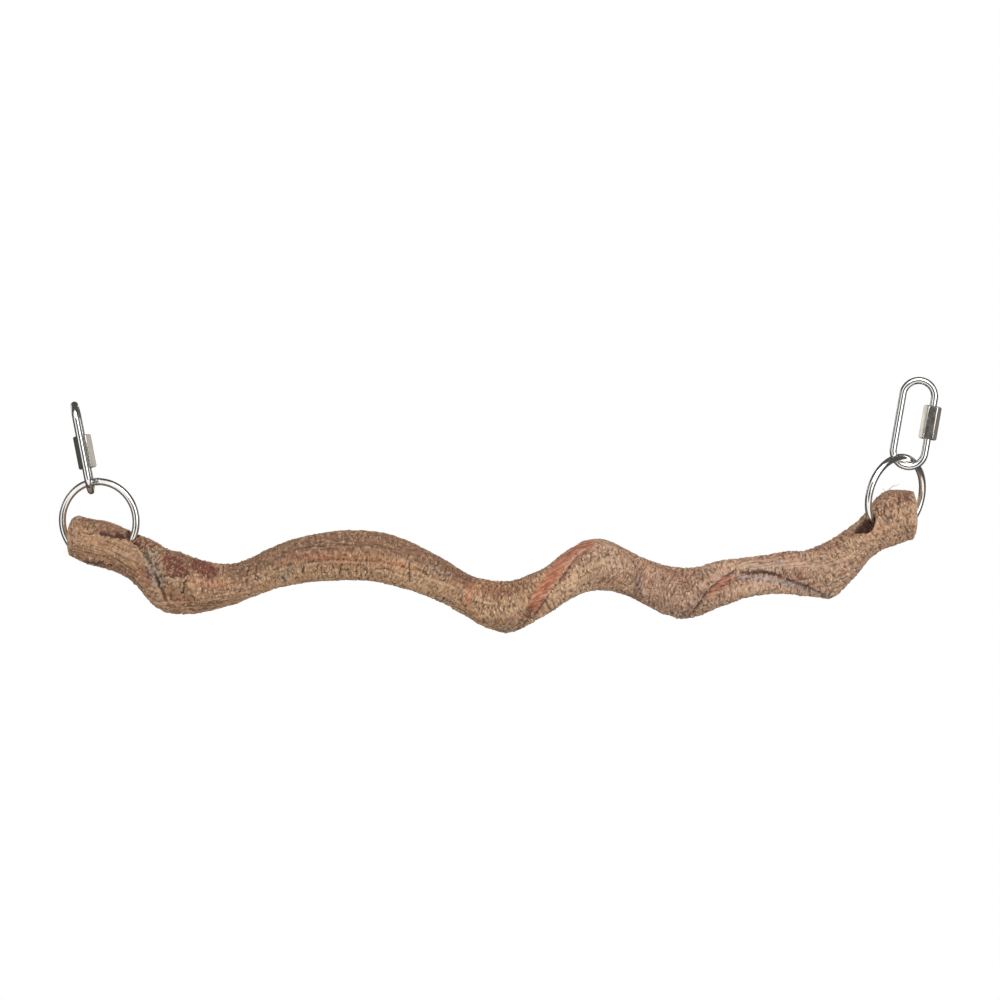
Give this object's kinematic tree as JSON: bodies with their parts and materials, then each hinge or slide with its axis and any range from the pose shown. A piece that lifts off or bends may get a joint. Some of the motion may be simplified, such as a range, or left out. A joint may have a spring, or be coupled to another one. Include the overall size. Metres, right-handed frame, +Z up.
{
  "type": "bird perch",
  "caption": "Crooked natural branch for a bird to perch on, hung at each end by a steel ring that runs through the wood and a screw quick link hooked into the ring.",
  "frame": {"origin": "middle of the box round the whole perch, as it hangs", "axes": "+X runs along the branch to the right, +Y goes to the back, away from the viewer, +Z is up"},
  "size_m": [0.6184, 0.0441, 0.1794],
  "materials": {
    "bark": "rough, finely cracked bark",
    "polished_steel": "polished"
  },
  "bodies": {
    "branch": {"branch": "bark"},
    "left_ring": {"left_ring": "polished_steel"},
    "right_ring": {"right_ring": "polished_steel"},
    "left_quick_link": {"left_quick_link": "polished_steel"},
    "right_quick_link": {"right_quick_link": "polished_steel"},
    "left_sleeve_nut": {"left_sleeve_nut": "polished_steel"},
    "right_sleeve_nut": {"right_sleeve_nut": "polished_steel"}
  },
  "joints": [
    {"name": "left_ring_turn", "type": "hinge", "parent": "branch", "child": "left_ring", "pos_m": [-0.28025, -0.0025, -0.01147], "axis": [-0.2429, -0.9681, -0.0606], "range_deg": [-40, 40]},
    {"name": "right_ring_turn", "type": "hinge", "parent": "branch", "child": "right_ring", "pos_m": [0.2769, -0.00004, 0.00606], "axis": [0.6364, -0.7431, -0.2068], "range_deg": [-40, 40]},
    {"name": "left_link_swing", "type": "hinge", "parent": "left_ring", "child": "left_quick_link", "pos_m": [-0.28691, -0.0025, 0.01522], "axis": [0.9394, -0.2504, 0.2342], "range_deg": [-70, 100]},
    {"name": "right_link_swing", "type": "hinge", "parent": "right_ring", "child": "right_quick_link", "pos_m": [0.2854, -0.00004, 0.03222], "axis": [0.7068, 0.6691, -0.2296], "range_deg": [-100, 70]},
    {"name": "left_nut_slide", "type": "slide", "parent": "left_quick_link", "child": "left_sleeve_nut", "axis": [-0.1908, 0, 0.9816], "range_m": [0, 0.011]},
    {"name": "right_nut_slide", "type": "slide", "parent": "right_quick_link", "child": "right_sleeve_nut", "axis": [-0.1736, 0, -0.9848], "range_m": [0, 0.011]}
  ]
}
